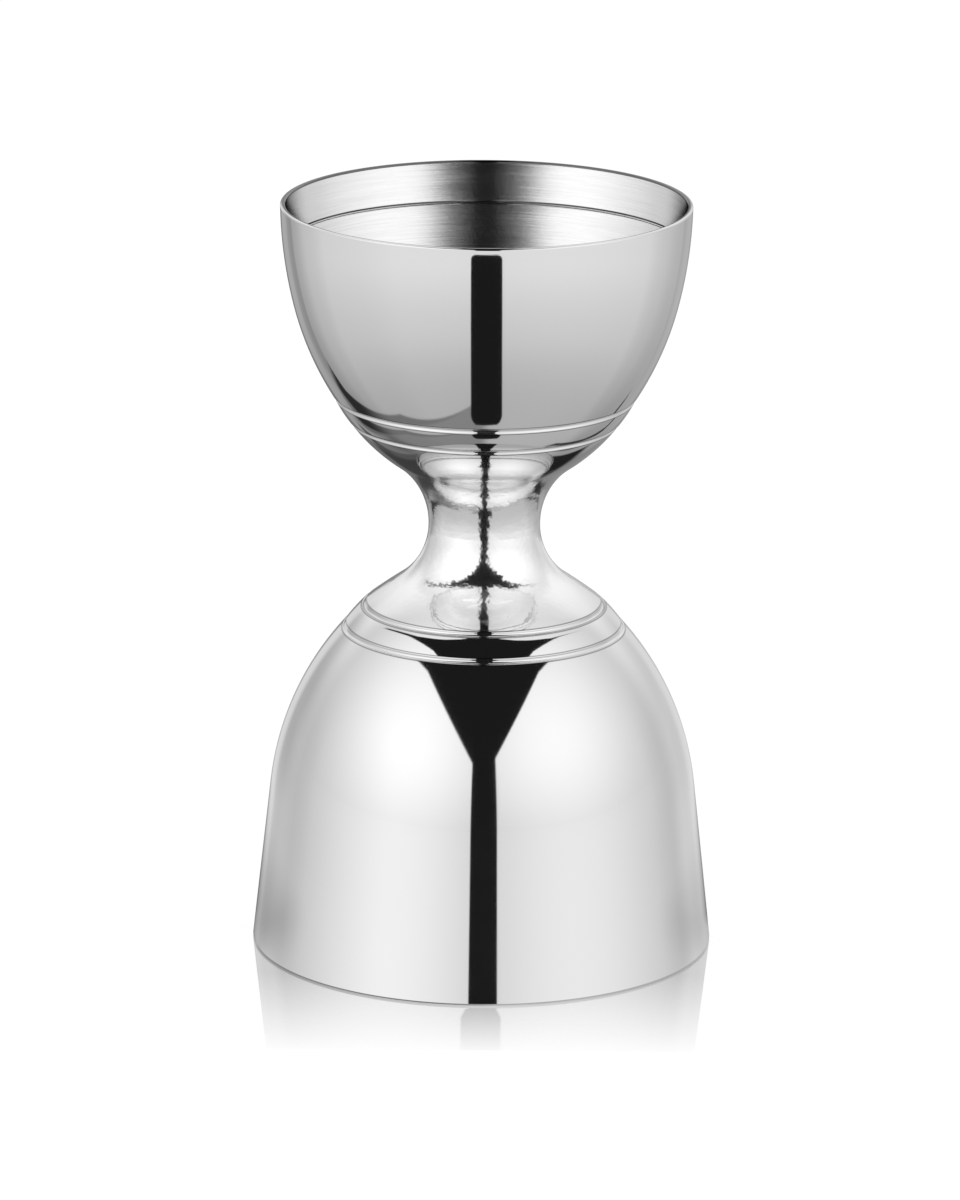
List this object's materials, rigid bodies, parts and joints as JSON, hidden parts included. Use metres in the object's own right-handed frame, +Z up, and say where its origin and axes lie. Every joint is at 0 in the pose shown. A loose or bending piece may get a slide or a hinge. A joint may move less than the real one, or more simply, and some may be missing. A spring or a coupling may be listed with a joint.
{
  "type": "bar jigger",
  "caption": "Double-ended bell-shaped bar measure of sheet steel: a small cup up, a large cup down as the foot, and a narrow hollow waist.",
  "frame": {"origin": "centre of the lower rim's plane, where the measure stands", "axes": "+Z up along the common axis of both bells, from the large cup to the small one; the body is round, so +X and +Y are any two radii"},
  "size_m": [0.0518, 0.0518, 0.085],
  "materials": {
    "bell_steel": "stainless steel, mirror polished outside and brushed round the axis inside",
    "floor_steel": "stainless steel, brushed round the axis",
    "weld_bead": "weld bead brushed smooth",
    "ground_weld": "butt weld ground flush and mirror polished"
  },
  "bodies": {
    "root": {"upper_bell": "bell_steel", "lower_bell": "bell_steel", "upper_cup_floor": "floor_steel", "lower_cup_floor": "floor_steel", "upper_floor_weld": "weld_bead", "lower_floor_weld": "weld_bead", "waist_weld": "ground_weld"}
  },
  "joints": []
}
